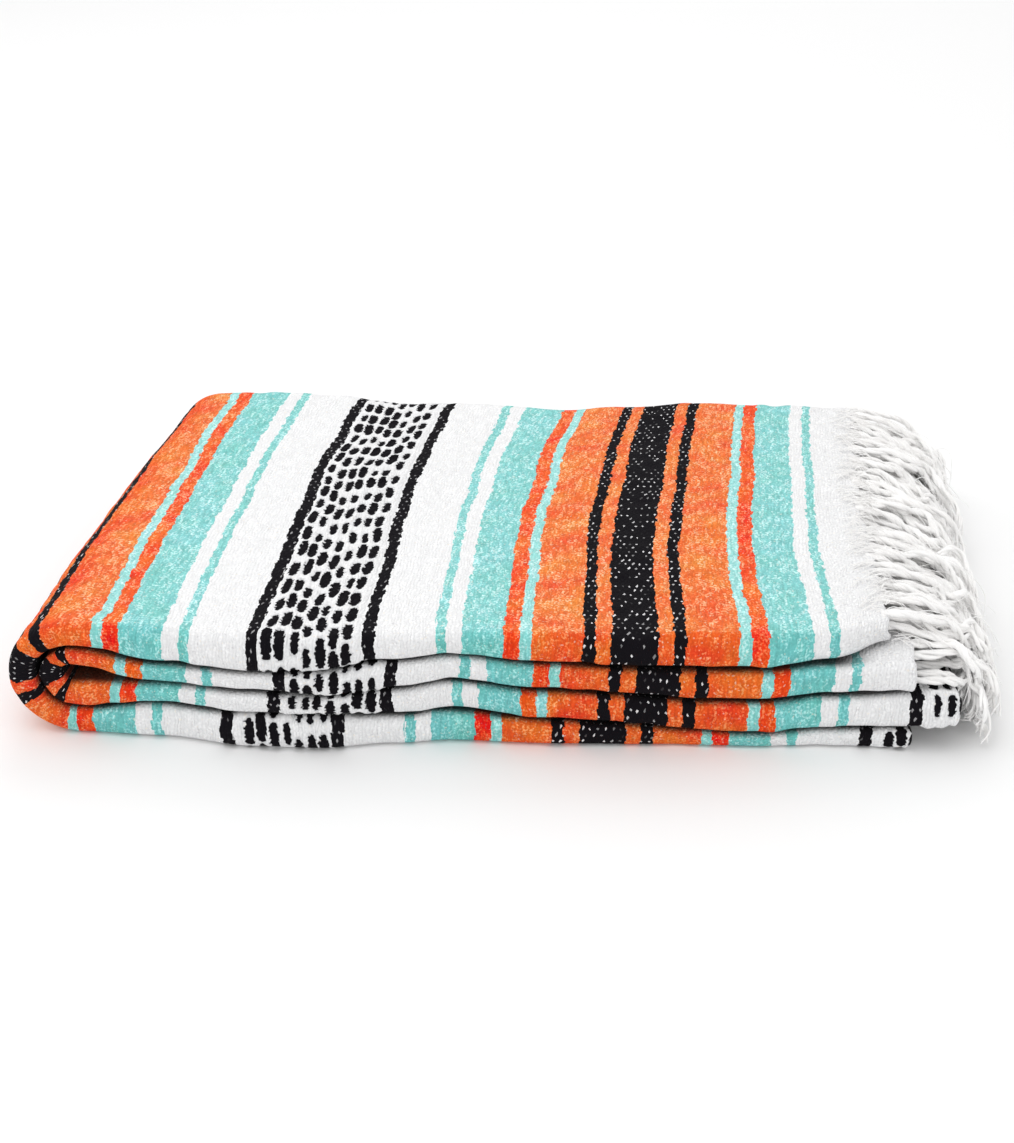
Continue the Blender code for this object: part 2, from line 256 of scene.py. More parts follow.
def folded(along, across, raised, inset, run_on):
    """Where points of the flat cloth lie in the pack.

    Raised lifts them off the cloth's face, inset sinks them to a deeper layer, and run_on moves
    them past the end that they are at, along X.
    """
    depth, distance, out_depth, out_distance = (
        np.interp(across, ACROSS, SECTION[:, column]) for column in range(4)
    )
    bend = np.arctan2(np.maximum(depth - BACK_CENTRE, 0.0), distance - BEND_MIDDLE)
    turned_in = smooth(bend / np.pi)
    turn_start = FOLD_TOP - FRINGED_STAGGER * turned_in
    turn_end = FOLD_BOTTOM + LOOPED_STAGGER * (turned_in - 0.5)
    is_top = along > (turn_start + turn_end) / 2
    angle = np.pi * np.clip((turn_start - along) / (turn_start - turn_end), 0.0, 1.0)
    x = FOLD_CENTRE + np.maximum(along - turn_start, 0.0) + np.maximum(turn_end - along, 0.0)
    lift = raised - inset
    depth = depth + lift * out_depth
    distance = distance + lift * out_distance
    nearness = 1 - smooth((x - FOLD_CENTRE) / HOLLOW_REACH)
    opened = distance + HOLLOW_AT_FOLD * nearness * (1 - distance / MIDDLE)
    tucked = 1 - NOSE_TUCK * smooth((-depth - FADE_START) / FADE_LENGTH)
    height = MIDDLE + opened * np.cos(angle)
    is_uppermost = is_top & (across < (BACK_TURN + LOWER_SIDE) / 2)
    return settled(x + run_on - tucked * opened * np.sin(angle), depth, height, is_uppermost)


def lumps(along, across, pitch_along, pitch_across, seed):
    """Smooth random relief from -1 to 1 with hills about as far apart as the two pitches."""
    places = np.random.default_rng(seed).uniform(-1.0, 1.0, (LUMP_GRID, LUMP_GRID))
    a = along / pitch_along + 20.0
    b = across / pitch_across + 20.0
    low_a = np.floor(a).astype(int)
    low_b = np.floor(b).astype(int)
    share_a = smooth(a - low_a)
    share_b = smooth(b - low_b)
    sides = []
    for row in (low_a % LUMP_GRID, (low_a + 1) % LUMP_GRID):
        near = places[row, low_b % LUMP_GRID]
        far = places[row, (low_b + 1) % LUMP_GRID]
        sides.append(near * (1 - share_b) + far * share_b)
    return sides[0] * (1 - share_a) + sides[1] * share_a


# The stripes repeat every 326.4 mm, mirrored about the middle of each patterned band
REPEAT = 0.3264
HALF_REPEAT_MM = 500 * REPEAT
BAND_HALF = 0.0251
FLOAT_COLUMN = 0.0065
FLOAT_SHIFT = -0.0014
FLOAT_ROW = 0.0170
FLOAT_LONG = 0.0066
FLOAT_WIDE = 0.0024
ROW_STEP = -0.20
ROW_TILT = -0.05
ROW_DRIFT = 0.20
DRIFT_LENGTH = 0.045
DRIFT_STEP = 1.7
SIDE_COLUMNS = 3
FLOATS_HALF = 0.0230
ROUNDNESS = 2.4
PUFF = 0.0011
WAVER = 0.0016
ROLL_LUMPS = 0.0006
ROLL_PITCH = (0.009, 0.007)
TOP_LUMPS = 0.0009
TOP_PITCH = (0.045, 0.040)
CREASE_FADE = 0.0080
CREASE_OPENING = 0.0012
SLOT_FADE = 0.006
EDGE_WAVER = 0.0016


def wavered(along, across):
    """Where the weaver's stripes truly run, as small drifts from the straight line."""
    drift = lumps(along, across, 0.070, 0.055, 3) + 0.5 * lumps(along, across, 0.030, 0.024, 4)
    return along + WAVER * drift


def band_relief(along, across):
    """Height of the puffs between the black floats of the patterned band."""
    side = along - REPEAT * np.round(along / REPEAT)
    column = np.clip(np.round((side - FLOAT_SHIFT) / FLOAT_COLUMN), -SIDE_COLUMNS, SIDE_COLUMNS)
    row = across / FLOAT_ROW + ROW_STEP * np.abs(column) + ROW_TILT * column
    row = row + ROW_DRIFT * np.sin(across / DRIFT_LENGTH + DRIFT_STEP * column)
    over = (side - FLOAT_SHIFT - FLOAT_COLUMN * column) / FLOAT_WIDE
    up = (row - np.round(row)) * FLOAT_ROW / FLOAT_LONG
    away = np.hypot(over, up)
    height = PUFF * (smooth((away - 0.75) / 0.6) + 0.6 * (1 - smooth(away / 0.9)))
    return height * smooth((BAND_HALF - np.abs(side)) / 0.003)


def in_sight(across):
    """1 on the faces that show, fading to 0 in the slots between the plies."""
    shown = 0.0
    for start, end in ((UPPER_ROLL, LOWER_SIDE), (LOWER_ROLL, SLOT_END)):
        begun = smooth((across - start) / SLOT_FADE + 0.5)
        shown = shown + begun * (1 - smooth((across - end) / SLOT_FADE + 0.5))
    return shown


def in_crease(across):
    """1 inside the slots between the plies, fading to 0 over the first of each roll. It opens the
    slots and says where their shade is painted.
    """
    upper = 1 - smooth((across - UPPER_ROLL) / CREASE_FADE)
    lower = smooth((across - LOWER_SIDE) / SLOT_FADE)
    lower = lower * (1 - smooth((across - LOWER_ROLL) / CREASE_FADE))
    return upper + lower + smooth((across - SLOT_END) / CREASE_FADE + 1.0)


def lines(*stretches):
    """Grid lines over stretches of (start, end, step)."""
    runs = []
    for start, end, step in stretches:
        count = max(1, round(abs(end - start) / step))
        runs.append(np.linspace(start, end, count, endpoint=False))
    return np.append(np.concatenate(runs), stretches[-1][1])


def cloth_grid(name, along_lines, across_lines):
    """A flat grid of cloth as a new object, with its lines' distances along and across the cloth."""
    bm = bmesh.new()
    bmesh.ops.create_grid(
        bm, x_segments=len(along_lines) - 1, y_segments=len(across_lines) - 1, size=0.5,
    )
    mesh = bpy.data.meshes.new(name)
    bm.to_mesh(mesh)
    bm.free()
    points = np.empty(len(mesh.vertices) * 3)
    mesh.vertices.foreach_get("co", points)
    points = points.reshape(-1, 3) + 0.5
    along = np.interp(points[:, 0], np.linspace(0, 1, len(along_lines)), along_lines)
    across = np.interp(points[:, 1], np.linspace(0, 1, len(across_lines)), across_lines)
    piece = bpy.data.objects.new(name, mesh)
    bpy.context.collection.objects.link(piece)
    return piece, along, across


def set_in_place(piece, place, flat_along, flat_across, slot_depth_and_shade, material):
    """Moves the piece's vertices into the pack and keeps their flat places as its UV map, in metres.

    Slot depth and shade, from 0 to 1, marks how deep in a slot each vertex is, and how much painted
    shade it gets there.
    """
    mesh = piece.data
    mesh.attributes.new("slot_depth_and_shade", "FLOAT", "POINT").data.foreach_set("value", slot_depth_and_shade)
    mesh.vertices.foreach_set("co", np.stack(place, axis=1).ravel())
    corners = np.empty(len(mesh.loops), dtype=np.int32)
    mesh.loops.foreach_get("vertex_index", corners)
    flat = np.stack([flat_along[corners], flat_across[corners]], axis=1)
    mesh.uv_layers.new(name="flat_cloth").data.foreach_set("uv", flat.ravel())
    mesh.shade_smooth()
    mesh.materials.append(material)
    mesh.update()


def end_turn(past, radius):
    """A half turn at the end of a layer, as (run on, inset), for distances past its start."""
    angle = np.clip(past / radius, 0.0, np.pi)
    inside = np.maximum(past - np.pi * radius, 0.0)
    return radius * np.sin(angle) - inside, radius * (1 - np.cos(angle))


# Steps of the cloth's grid, fine where it shows and coarse where it is folded away
TOP_STEP = 0.0019
ROLL_STEP = 0.0014
BACK_STEP = 0.0022
BAND_STEP = 0.0013
MOUTH_STEP = 0.003
HIDDEN_STEP = 0.012
LIP_STEP = 0.0012
SLOT_MOUTH = 0.010


def lines_across(outer_step):
    """Grid lines across the cloth, with the given step on its outermost face."""
    return lines(
        (0.0, UPPER_ROLL - SLOT_MOUTH, HIDDEN_STEP),
        (UPPER_ROLL - SLOT_MOUTH, UPPER_ROLL, MOUTH_STEP),
        (UPPER_ROLL, UPPER_ROLL + ROLL, ROLL_STEP),
        (UPPER_ROLL + ROLL, BACK_TURN, outer_step),
        (BACK_TURN, LOWER_SIDE, BACK_STEP),
        (LOWER_SIDE, LOWER_ROLL - SLOT_MOUTH, HIDDEN_STEP),
        (LOWER_ROLL - SLOT_MOUTH, LOWER_ROLL, MOUTH_STEP),
        (LOWER_ROLL, SLOT_END, ROLL_STEP),
        (SLOT_END, SLOT_END + SLOT_MOUTH, MOUTH_STEP),
        (SLOT_END + SLOT_MOUTH, CLOTH_WIDTH, HIDDEN_STEP),
    )


# Dyed yarns, the tones of flecks and bare warp, the painted shadow round the floats and the painted
# shade deep in the slots
WHITE = (0.862, 0.862, 0.868)
BLACK = (0.005, 0.004, 0.006)
TEAL = (0.290, 0.660, 0.640)
MINT = (0.380, 0.740, 0.715)
ORANGE = (0.860, 0.212, 0.064)
RED = (0.880, 0.136, 0.040)
PALE_FLECK = (0.92, 0.82, 0.68)
DARK_FLECK = (0.30, 0.28, 0.30)
PAINTED_FLOAT_SHADOW = (0.35, 0.35, 0.37)
WARP_SPECK = (0.84, 0.83, 0.84)
PAINTED_SLOT_SHADE = (0.012, 0.011, 0.012)

# Faces that turn up between these two angles are painted more and more pale, as painted light from
# above
TOP_LIGHT_FROM = math.radians(58)
TOP_LIGHT_TO = math.radians(92)

# Stripes from the middle of a patterned band to the middle of the wide black one, in mm
STRIPES = (
    ("patterned band", 25.1, WHITE),
    ("black edge line", 6.4, BLACK),
    ("wide white", 30.5, WHITE),
    ("thin teal", 5.5, TEAL),
    ("thin white", 8.1, WHITE),
    ("wide teal", 22.3, TEAL),
    ("thin red", 8.4, RED),
    ("thin mint", 5.5, MINT),
    ("wide orange", 25.6, ORANGE),
    ("narrow black", 6.6, BLACK),
    ("narrow orange", 7.1, ORANGE),
    ("wide black", 12.1, BLACK),
)


def add(tree, kind, inputs=(), **settings):
    """A new node with its settings, and its inputs set to values or linked to other nodes' outputs."""
    made = tree.nodes.new(kind)
    for name, value in settings.items():
        setattr(made, name, value)
    for place, value in dict(inputs).items():
        if isinstance(value, bpy.types.NodeSocket):
            tree.links.new(value, made.inputs[place])
        else:
            made.inputs[place].default_value = value
    return made


def sums(tree, operation, *values):
    """The result of a Math node."""
    return add(tree, "ShaderNodeMath", dict(enumerate(values)), operation=operation).outputs[0]


def plus(tree, total, value, factor):
    """The total and a multiple of the value."""
    return sums(tree, "ADD", total, sums(tree, "MULTIPLY", value, factor))


def step_between(tree, value, start, end):
    """0 on start's side, 1 on end's side and eased between them."""
    inputs = {"Value": value, "From Min": start, "From Max": end}
    return add(tree, "ShaderNodeMapRange", inputs, interpolation_type="SMOOTHSTEP").outputs["Result"]


def blend(tree, share, first, second):
    """A mix of two colours, each an output or three numbers."""
    inputs = {0: share}
    for place, value in ((6, first), (7, second)):
        inputs[place] = value if isinstance(value, bpy.types.NodeSocket) else (*value, 1.0)
    return add(tree, "ShaderNodeMix", inputs, data_type="RGBA").outputs[2]


def noise(tree, place, scale, detail):
    """Cloudy noise about 0.5."""
    inputs = {"Vector": place, "Scale": scale, "Detail": detail}
    return add(tree, "ShaderNodeTexNoise", inputs).outputs["Fac"]


def centred_noise(tree, place, scale, detail):
    """Cloudy noise about 0."""
    return sums(tree, "SUBTRACT", noise(tree, place, scale, detail), 0.5)


def chance_of(tree, first, second, output="Value"):
    """A random value from 0 to 1, or a random colour, for each pair of whole numbers."""
    pair = add(tree, "ShaderNodeCombineXYZ", {0: first, 1: second}).outputs[0]
    made = add(tree, "ShaderNodeTexWhiteNoise", {"Vector": pair}, noise_dimensions="2D")
    return made.outputs[output]


def new_group(name, inputs, outputs):
    """An empty node group with named float, vector or colour sockets."""
    group = bpy.data.node_groups.new(name, "ShaderNodeTree")
    for socket, kind in inputs:
        group.interface.new_socket(socket, in_out="INPUT", socket_type=kind)
    for socket, kind in outputs:
        group.interface.new_socket(socket, in_out="OUTPUT", socket_type=kind)
    return group, group.nodes.new("NodeGroupInput").outputs, group.nodes.new("NodeGroupOutput").inputs


# The weave: picks side by side along the cloth, each passing over a warp end like a grain of rice
PICK = 0.00185
WARP_PAIR = 0.0088
TOOTH_LANE = 0.011
weave, given, result = new_group(
    "weft_faced_weave",
    [("Flat place", "NodeSocketVector")],
    [("Height", "NodeSocketFloat"), ("Grain", "NodeSocketFloat")],
)
flat = add(weave, "ShaderNodeSeparateXYZ", {0: given["Flat place"]}).outputs
drift = centred_noise(weave, given["Flat place"], 160.0, 1.0)
picks = plus(weave, sums(weave, "DIVIDE", flat[0], PICK), drift, 2.2)
pick = sums(weave, "FLOOR", picks)
odd = sums(weave, "MULTIPLY", sums(weave, "MODULO", pick, 2.0), 0.5)
floats = sums(weave, "ADD", sums(weave, "DIVIDE", flat[1], WARP_PAIR / 2), odd)
floats = plus(weave, floats, drift, 1.4)
chance = chance_of(weave, pick, sums(weave, "FLOOR", floats))
over = sums(weave, "SINE", sums(weave, "MULTIPLY", sums(weave, "FRACT", picks), math.pi))
up = sums(weave, "SINE", sums(weave, "MULTIPLY", sums(weave, "FRACT", floats), math.pi))
puffed = sums(weave, "POWER", sums(weave, "MULTIPLY", over, up), 0.6)
uneven = plus(weave, 0.65, chance, 0.35)
weave.links.new(sums(weave, "MULTIPLY", puffed, uneven), result["Height"])
weave.links.new(chance, result["Grain"])

# Heathered yarn: grains and short streaks of paler and deeper fibre, strongest in strong colours.
# Its colour is painted paler where it lies uppermost, as painted light from above.
heather, given, result = new_group(
    "heathered_yarn_and_top_light",
    [("Colour", "NodeSocketColor"), ("Flat place", "NodeSocketVector"),
     ("Grain", "NodeSocketFloat"), ("Painted top light", "NodeSocketFloat")],
    [("Colour", "NodeSocketColor")],
)
cloud = step_between(heather, noise(heather, given["Flat place"], 800.0, 2.0), 0.30, 0.70)
patch = centred_noise(heather, given["Flat place"], 45.0, 2.0)
stretch = {0: given["Flat place"], 1: (1.0, 0.25, 1.0)}
along_pick = add(heather, "ShaderNodeVectorMath", stretch, operation="MULTIPLY").outputs[0]
streak = centred_noise(heather, along_pick, 620.0, 1.0)
mixed = plus(heather, sums(heather, "MULTIPLY", given["Grain"], 0.45), cloud, 0.55)
gamma = plus(heather, 1.48, step_between(heather, mixed, 0.42, 0.95), -0.74)
gamma = plus(heather, gamma, given["Painted top light"], -0.35)
gamma = plus(heather, gamma, patch, -0.22)
paler = add(heather, "ShaderNodeGamma", {"Color": given["Colour"], "Gamma": gamma}).outputs[0]
strength = add(heather, "ShaderNodeSeparateColor", {0: given["Colour"]}, mode="HSV").outputs[1]
strength = step_between(heather, strength, -0.25, 0.60)
value = plus(heather, sums(heather, "MULTIPLY", streak, 0.64), mixed, 0.26)
value = plus(heather, 1.0, sums(heather, "SUBTRACT", value, 0.13), strength)
hue = plus(heather, 0.5, patch, 0.055)
toned = add(heather, "ShaderNodeHueSaturation", {"Color": paler, "Hue": hue, "Value": value})
heather.links.new(toned.outputs["Color"], result["Colour"])


def striped_cloth():
    """The panel's finish: stripes by the distance along the cloth, over one weave."""
    material = bpy.data.materials.new("striped_cloth")
    material.use_nodes = True
    tree = material.node_tree
    shader = tree.nodes["Principled BSDF"]
    place = add(tree, "ShaderNodeUVMap", uv_map="flat_cloth").outputs["UV"]
    flat = add(tree, "ShaderNodeSeparateXYZ", {0: place}).outputs
    woven = add(tree, "ShaderNodeGroup", {"Flat place": place}, node_tree=weave)

    # Ragged stripe edges, where the picks of two colours interlock
    beads = sums(tree, "COSINE", sums(tree, "MULTIPLY", flat[1], 2 * math.pi / WARP_PAIR))
    teeth = centred_noise(tree, place, 520.0, 2.0)
    warp_end = sums(tree, "FLOOR", sums(tree, "DIVIDE", flat[1], WARP_PAIR / 2))
    lane = sums(tree, "FLOOR", sums(tree, "DIVIDE", flat[0], TOOTH_LANE))
    tooth = sums(tree, "SUBTRACT", chance_of(tree, warp_end, lane), 0.5)
    ragged = plus(tree, sums(tree, "MULTIPLY", teeth, 0.0016), tooth, 0.0013)
    shifted = sums(tree, "ADD", flat[0], plus(tree, ragged, beads, 0.0002))
    stripe = sums(tree, "DIVIDE", sums(tree, "PINGPONG", shifted, REPEAT / 2), REPEAT / 2)
    ramp = add(tree, "ShaderNodeValToRGB", {"Fac": stripe})
    ramp.color_ramp.interpolation = "CONSTANT"
    blacks = add(tree, "ShaderNodeValToRGB", {"Fac": stripe})
    blacks.color_ramp.interpolation = "CONSTANT"
    start = 0.0
    for count, (_, width, colour) in enumerate(STRIPES):
        for one, tint in ((ramp, colour), (blacks, (float(colour is BLACK),) * 3)):
            stop = one.color_ramp.elements[count] if count < 2 else one.color_ramp.elements.new(1.0)
            stop.position = start / HALF_REPEAT_MM
            stop.color = (*tint, 1.0)
        start += width
    is_black = blacks.outputs["Color"]

    # Black floats of the patterned band, in seven columns that step up the band
    turn = sums(tree, "ROUND", sums(tree, "DIVIDE", flat[0], REPEAT))
    side = sums(tree, "SUBTRACT", plus(tree, flat[0], turn, -REPEAT), FLOAT_SHIFT)
    column = sums(tree, "ROUND", sums(tree, "DIVIDE", side, FLOAT_COLUMN))
    column = sums(tree, "MAXIMUM", sums(tree, "MINIMUM", column, SIDE_COLUMNS), -SIDE_COLUMNS)
    drift = plus(tree, sums(tree, "DIVIDE", flat[1], DRIFT_LENGTH), column, DRIFT_STEP)
    row = plus(tree, sums(tree, "DIVIDE", flat[1], FLOAT_ROW), sums(tree, "SINE", drift), ROW_DRIFT)
    row = plus(tree, row, sums(tree, "ABSOLUTE", column), ROW_STEP)
    row = plus(tree, row, column, ROW_TILT)
    nearest = sums(tree, "ROUND", row)
    chances = chance_of(tree, column, nearest, "Color")
    chances = add(tree, "ShaderNodeSeparateColor", {0: chances}).outputs
    over = plus(tree, side, column, -FLOAT_COLUMN)
    over = plus(tree, over, sums(tree, "SUBTRACT", chances[0], 0.5), 0.0016)
    over = sums(tree, "DIVIDE", plus(tree, over, teeth, 0.0040), FLOAT_WIDE)
    up = sums(tree, "MULTIPLY", sums(tree, "SUBTRACT", row, nearest), FLOAT_ROW)
    up = plus(tree, up, sums(tree, "SUBTRACT", chances[1], 0.5), 0.0030)
    up = sums(tree, "DIVIDE", up, FLOAT_LONG)
    over = sums(tree, "POWER", sums(tree, "ABSOLUTE", over), ROUNDNESS)
    up = sums(tree, "POWER", sums(tree, "ABSOLUTE", up), ROUNDNESS)
    away = sums(tree, "SQRT", sums(tree, "ADD", over, up))
    size = plus(tree, 0.70, chances[2], 0.50)
    inside = sums(tree, "LESS_THAN", away, size)
    in_band = sums(tree, "LESS_THAN", sums(tree, "ABSOLUTE", side), FLOATS_HALF)
    floats = sums(tree, "MULTIPLY", inside, in_band)

    # White warp specks that show through the black
    lean = sums(tree, "MULTIPLY", centred_noise(tree, place, 300.0, 0.0), 1.2)
    across = sums(tree, "ADD", sums(tree, "DIVIDE", flat[0], PICK), lean)
    lane = sums(tree, "FLOOR", across)
    half = sums(tree, "MULTIPLY", sums(tree, "FLOORED_MODULO", lane, 2.0), 0.5)
    along = sums(tree, "ADD", sums(tree, "DIVIDE", flat[1], WARP_PAIR), half)
    along = plus(tree, along, lean, 0.25)
    luck = chance_of(tree, lane, sums(tree, "FLOOR", along))
    narrow = sums(tree, "ABSOLUTE", sums(tree, "SUBTRACT", sums(tree, "FRACT", across), 0.5))
    short = sums(tree, "ABSOLUTE", sums(tree, "SUBTRACT", sums(tree, "FRACT", along), 0.5))
    shape = sums(tree, "ADD", sums(tree, "DIVIDE", narrow, 0.36), sums(tree, "DIVIDE", short, 0.12))
    specks = sums(tree, "LESS_THAN", shape, 1.0)
    specks = sums(tree, "MULTIPLY", specks, step_between(tree, luck, 0.30, 0.85))
    specks = sums(tree, "MULTIPLY", specks, is_black)
    at_band = sums(tree, "LESS_THAN", sums(tree, "ABSOLUTE", side), 0.036)
    specks = sums(tree, "MULTIPLY", specks, plus(tree, 1.0, at_band, -0.55))

    # The heathered yarn, with rare pale and dark flecks, and more dark ones by the cut edge
    fleck = noise(tree, place, 520.0, 1.0)
    pale = step_between(tree, fleck, 0.66, 0.72)
    dark = step_between(tree, fleck, 0.33, 0.27)
    by_edge = step_between(tree, flat[0], CUT_EDGE - 0.050, CUT_EDGE - 0.015)
    by_edge = sums(tree, "MULTIPLY", by_edge, step_between(tree, fleck, 0.42, 0.30))
    dark = sums(tree, "MAXIMUM", dark, by_edge)
    # Painted light: faces that turn up are painted paler, as if lit from above
    upward = add(tree, "ShaderNodeTexCoord").outputs["Normal"]
    upward = add(tree, "ShaderNodeSeparateXYZ", {0: upward}).outputs[2]
    painted_top_light = step_between(tree, sums(tree, "ARCSINE", upward), TOP_LIGHT_FROM, TOP_LIGHT_TO)
    yarn = {"Colour": ramp.outputs["Color"], "Flat place": place, "Grain": woven.outputs["Grain"]}
    yarn = add(tree, "ShaderNodeGroup", {**yarn, "Painted top light": painted_top_light}, node_tree=heather)
    coloured = blend(tree, sums(tree, "MULTIPLY", pale, 0.40), yarn.outputs["Colour"], PALE_FLECK)
    coloured = blend(tree, sums(tree, "MULTIPLY", dark, 0.22), coloured, DARK_FLECK)

    # Over that lie the painted shadow round the floats, the black floats and stripes, then the bare
    # warp specks and the painted shade deep in the slots
    # Painted shadow: a soft grey rim is painted round each black float
    float_shadow_mask = step_between(tree, sums(tree, "SUBTRACT", away, size), 0.32, 0.0)
    float_shadow_mask = sums(tree, "MULTIPLY", float_shadow_mask, in_band)
    coloured = blend(tree, sums(tree, "MULTIPLY", float_shadow_mask, 0.45), coloured, PAINTED_FLOAT_SHADOW)
    coloured = blend(tree, sums(tree, "MAXIMUM", is_black, floats), coloured, BLACK)
    coloured = blend(tree, sums(tree, "MULTIPLY", specks, 0.90), coloured, WARP_SPECK)
    # Painted shade: deep in the slots between the plies the colour is painted near black
    slot_depth_and_shade = add(tree, "ShaderNodeAttribute", attribute_name="slot_depth_and_shade").outputs["Fac"]
    coloured = blend(tree, sums(tree, "MULTIPLY", slot_depth_and_shade, 0.88), coloured, PAINTED_SLOT_SHADE)
    tree.links.new(coloured, shader.inputs["Base Color"])

    # Relief of the weave, the floats and the fuzz on the yarn
    height = plus(tree, woven.outputs["Height"], noise(tree, place, 900.0, 4.0), 0.8)
    height = plus(tree, height, step_between(tree, away, 0.6, 1.3), 0.6)
    bump = add(tree, "ShaderNodeBump", {"Strength": 0.72, "Distance": 0.0008, "Height": height})
    tree.links.new(bump.outputs["Normal"], shader.inputs["Normal"])
    shader.inputs["Roughness"].default_value = 0.95
    shader.inputs["Specular IOR Level"].default_value = 0.12
    return material


striped = striped_cloth()
LIP_START = CUT_EDGE - LIP_RADIUS
LIP_LENGTH = math.pi * LIP_RADIUS + LIP_INSIDE
UPPER_BAND = (0.6200, 0.6860)
upper_lines = lines(
    (SEAM, UPPER_BAND[0], 0.0019),
    (*UPPER_BAND, BAND_STEP),
    (UPPER_BAND[1], LIP_START, 0.0020),
    (LIP_START, LIP_START + LIP_LENGTH, LIP_STEP),
)
cloth_upper, along, across = cloth_grid("cloth_upper", upper_lines, lines_across(TOP_STEP))
past = np.maximum(along - LIP_START, 0.0)
run_on, inset = end_turn(past, LIP_RADIUS)
shown = in_sight(across)
stripe_place = wavered(along, across)
raised = shown * (
    band_relief(stripe_place, across)
    + ROLL_LUMPS * lumps(along, across, *ROLL_PITCH, 11)
    + TOP_LUMPS * lumps(along, across, *TOP_PITCH, 12)
) * (1 - smooth(past / 0.003))
# The slot mask opens the slots a little and carries their painted shade to the material
slot_depth_and_shade = in_crease(across)
raised = raised - CREASE_OPENING * slot_depth_and_shade
edge_pull = lumps(0 * along, across, 1.0, 0.011, 15) + 0.5 * lumps(0 * along, across, 1.0, 0.005, 16)
run_on = run_on + EDGE_WAVER * edge_pull * smooth((along - CUT_EDGE + 0.020) / 0.020)
place = folded(np.minimum(along, LIP_START), across, raised, inset, run_on)
uncovered = smooth((along - CUT_EDGE + 0.040) / 0.020) * (across > (LOWER_ROLL + SLOT_END) / 2)
set_in_place(cloth_upper, place, stripe_place, across, slot_depth_and_shade * (1 - uncovered), striped)
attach(cloth_upper, "root")
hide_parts("woven_panel")

# Lower part of the woven panel
# The same cloth goes on under the left fold, round the two lower plies, and turns in on itself
# at the right, where the middle of the blanket makes a loop in each ply.
LOOP_RADIUS = CLOTH_THICKNESS * 0.95
LOOP_INSIDE = 0.010
LOOP_LENGTH = math.pi * LOOP_RADIUS + LOOP_INSIDE
LOOP_START = MIDDLE_FOLD + LOOP_RADIUS
LOWER_BAND = (0.2900, 0.3600)
OVERLAP = 0.003
lower_lines = lines(
    (LOOP_START - LOOP_LENGTH, LOOP_START, LIP_STEP),
    (LOOP_START, LOWER_BAND[0], 0.0018),
    (*LOWER_BAND, BAND_STEP),
    (LOWER_BAND[1], SEAM + OVERLAP, 0.0019),
)
cloth_lower, along, across = cloth_grid("cloth_lower", lower_lines, lines_across(HIDDEN_STEP))
past = np.maximum(LOOP_START - along, 0.0)
run_on, inset = end_turn(past, LOOP_RADIUS)
on_floor = smooth((across - UPPER_ROLL - 0.6 * ROLL) / SLOT_FADE)
on_floor = on_floor * (1 - smooth((across - BACK_TURN) / SLOT_FADE))
shown = in_sight(across) * (1 - on_floor)
stripe_place = wavered(along, across)
raised = shown * (
    band_relief(stripe_place, across)
    + ROLL_LUMPS * lumps(along, across, *ROLL_PITCH, 13)
) * (1 - smooth(past / 0.006))
# The slot mask opens the slots a little and carries their painted shade to the material
slot_depth_and_shade = in_crease(across)
raised = raised - CREASE_OPENING * slot_depth_and_shade
place = folded(np.maximum(along, LOOP_START), across, raised, inset, run_on)
uncovered = (1 - smooth((along - MIDDLE_FOLD - 0.022) / 0.015)) * (across > BACK_TURN)
uncovered = np.maximum(uncovered, 1 - smooth((along - MIDDLE_FOLD) / 0.010))
set_in_place(cloth_lower, place, stripe_place, across, slot_depth_and_shade * (1 - uncovered), striped)
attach(cloth_lower, "root")

# Inner layers
# In each ply two more layers of the same cloth lie folded away. They show only as two more cut
# edges between the outer ones, under the fringe.
INNER_INSET = CLOTH_THICKNESS + 0.0003
INNER_LIP = 0.0016
INNER_START = CUT_EDGE - INNER_LIP
inner_lines = lines(
    (MIDDLE_FOLD + 0.014, CUT_EDGE - 0.012, HIDDEN_STEP),
    (CUT_EDGE - 0.012, INNER_START, 0.004),
    (INNER_START, INNER_START + math.pi * INNER_LIP + LIP_INSIDE, LIP_STEP),
)
inner_layers, along, across = cloth_grid(
    "inner_layers",
    inner_lines,
    lines(
        (0.0, UPPER_ROLL, 0.006),
        (UPPER_ROLL, UPPER_ROLL + ROLL, 0.0025),
        (UPPER_ROLL + ROLL, BACK_TURN, 0.006),
        (BACK_TURN, LOWER_SIDE, 0.004),
        (LOWER_SIDE, LOWER_ROLL, 0.006),
        (LOWER_ROLL, SLOT_END, 0.0025),
        (SLOT_END, CLOTH_WIDTH, 0.006),
    ),
)
past = np.maximum(along - INNER_START, 0.0)
run_on, inset = end_turn(past, INNER_LIP)
place = folded(np.minimum(along, INNER_START), across, 0.0, INNER_INSET + inset, run_on)
set_in_place(inner_layers, place, wavered(along, across), across, 0 * along, striped)
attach(inner_layers, "root")
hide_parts("hidden_layers")

# Fringe
# The warp ends of both short edges, left long and loosely twisted by hand into soft off-white
# cords. They come out between the cut edges and droop over the looped ends to the floor.
CORDS_IN_ROW = 44
YARNS_IN_CORD = 4
CORD_POINTS = 40
YARN_RADIUS = 0.00120
WIND_RADIUS = 0.00148
TWIST_PITCH = 0.024
FRINGE_BACK = 0.151
ROOT_DEPTH = 0.004
LOWEST = 0.0016
TIP_RISE = 0.014
CORD_LEVELS = (-0.002, 0.0015, 0.0032)
CORDS_IN_CLUMP = 3.1
LEAN = -0.017
LEAN_SPREAD = 0.017
LEAN_LIMITS = (-0.036, 0.016)
LEAN_FADE = 0.050
CURLED_SHARE = 0.4
STRAYS_IN_ROW = 90
STRAY_POINTS = 14
STRAY_RADIUS = 0.00024
FRAY_POINTS = 6
COTTON_DEEP = (0.905, 0.89, 0.875)
COTTON_PALE = (0.95, 0.94, 0.93)
